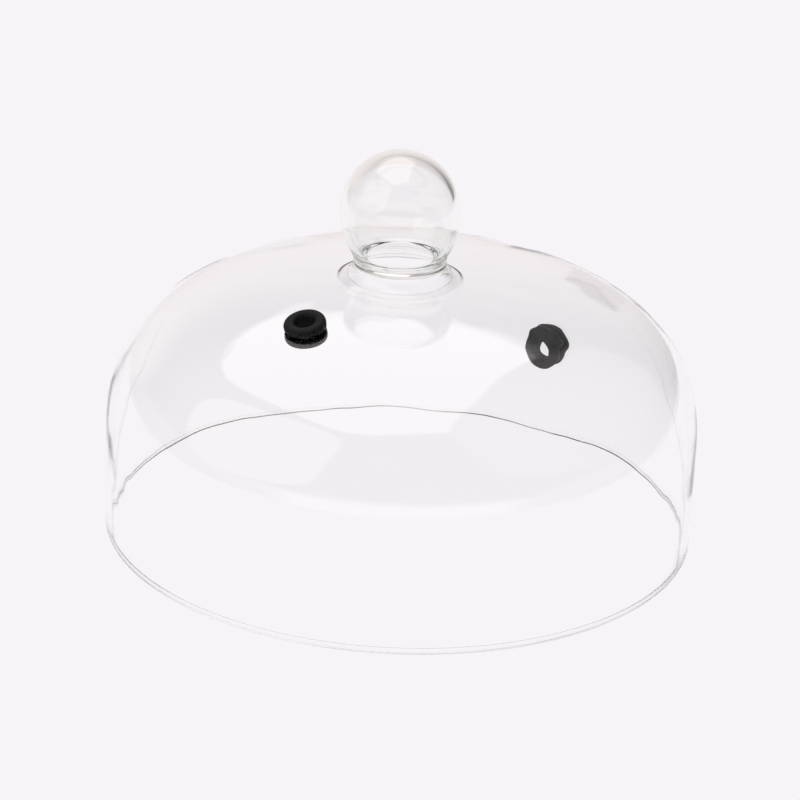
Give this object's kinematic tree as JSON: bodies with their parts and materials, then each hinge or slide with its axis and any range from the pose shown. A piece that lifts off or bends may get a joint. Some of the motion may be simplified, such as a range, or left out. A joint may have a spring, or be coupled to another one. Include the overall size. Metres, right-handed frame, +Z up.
{
  "type": "glass dome cover",
  "caption": "Low round clear glass dome with an open rim, a hollow glass ball knob on its crown, and black rubber grommets lining its hose ports.",
  "frame": {"origin": "centre of the circle that the rim rests on, on the dome's axis", "axes": "+Z up along the dome's axis, -Y the front, +X to the right seen from the front"},
  "size_m": [0.25, 0.25, 0.1669],
  "materials": {
    "clear_glass": "fire-polished, clear",
    "black_rubber": "moulded, matt"
  },
  "bodies": {
    "root": {"dome_shell": "clear_glass", "ball_knob": "clear_glass", "upper_port_grommet": "black_rubber", "lower_port_grommet": "black_rubber"}
  },
  "joints": []
}
